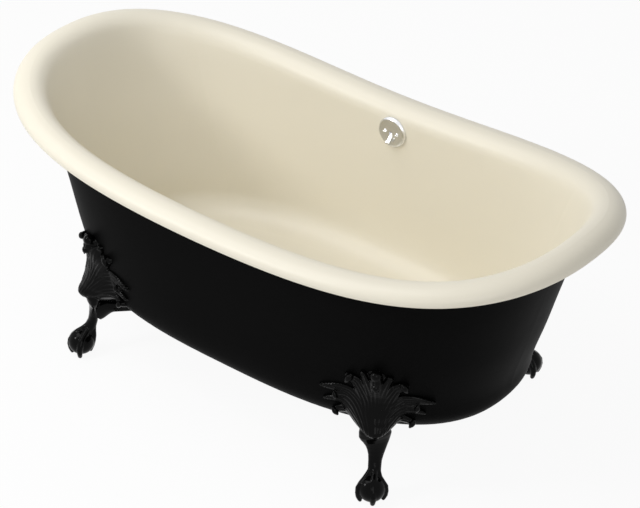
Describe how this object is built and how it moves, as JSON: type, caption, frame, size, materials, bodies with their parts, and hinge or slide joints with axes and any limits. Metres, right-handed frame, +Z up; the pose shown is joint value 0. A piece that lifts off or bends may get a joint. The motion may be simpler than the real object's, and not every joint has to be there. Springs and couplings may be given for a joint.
{
  "type": "clawfoot bathtub",
  "caption": "Cast-iron rolled-rim bathtub with two raised ends on ball and claw feet, with a trip-lever overflow and a floor drain.",
  "frame": {"origin": "on the floor, under the middle of the object's box, which is the middle of the tub", "axes": "+X along the tub to the right as seen from the front, +Y towards the wall that carries the overflow, +Z up"},
  "size_m": [1.5492, 0.7892, 0.6602],
  "materials": {
    "cast_iron_paint": "satin black paint on sand-cast iron",
    "porcelain": "glossy biscuit porcelain enamel, fired on",
    "foot_enamel": "gloss black enamel on cast iron",
    "chrome": "polished",
    "zinc_steel": "zinc plated",
    "brass": "turned and cast, unlacquered",
    "rubber": "matte",
    "putty": "set plumber's putty"
  },
  "bodies": {
    "root": {"tub_shell": "cast_iron_paint", "enamel_lining": "porcelain", "foot_front_left": "foot_enamel", "foot_front_right": "foot_enamel", "foot_back_left": "foot_enamel", "foot_back_right": "foot_enamel", "foot_studs": "zinc_steel", "foot_washers": "zinc_steel", "foot_nuts": "zinc_steel", "overflow_plate": "chrome", "plate_screws": "chrome", "lever_pivot_pin": "brass", "overflow_gasket": "rubber", "overflow_elbow": "brass", "overflow_tube": "brass", "waste_tee": "brass", "tailpiece": "brass", "shoe_pipe": "brass", "upper_slip_nut": "brass", "upper_slip_washer": "rubber", "lower_slip_nut": "brass", "lower_slip_washer": "rubber", "tailpiece_slip_nut": "brass", "tailpiece_slip_washer": "rubber", "branch_slip_nut": "brass", "branch_slip_washer": "rubber", "drain_flange": "chrome", "drain_putty_ring": "putty", "drain_strainer": "chrome", "strainer_screw": "chrome", "shoe_gasket": "rubber", "drain_shoe": "brass"},
    "lever": {"trip_lever": "chrome", "link_pin": "brass"},
    "lift": {"lift_rod": "brass", "rod_locknut": "brass", "plunger": "brass"}
  },
  "joints": [
    {"name": "lever_turn", "type": "hinge", "parent": "root", "child": "lever", "pos_m": [0.012, 0.31414, 0.508], "axis": [-1, 0, 0], "range_deg": [0, 40]},
    {"name": "lift_slide", "type": "slide", "parent": "root", "child": "lift", "axis": [0, 0, -1], "range_m": [0, 0.02736]}
  ],
  "couplings": [
    {"joint": "lever_turn", "follows": "lift_slide", "rad_per_m": 25.515}
  ]
}
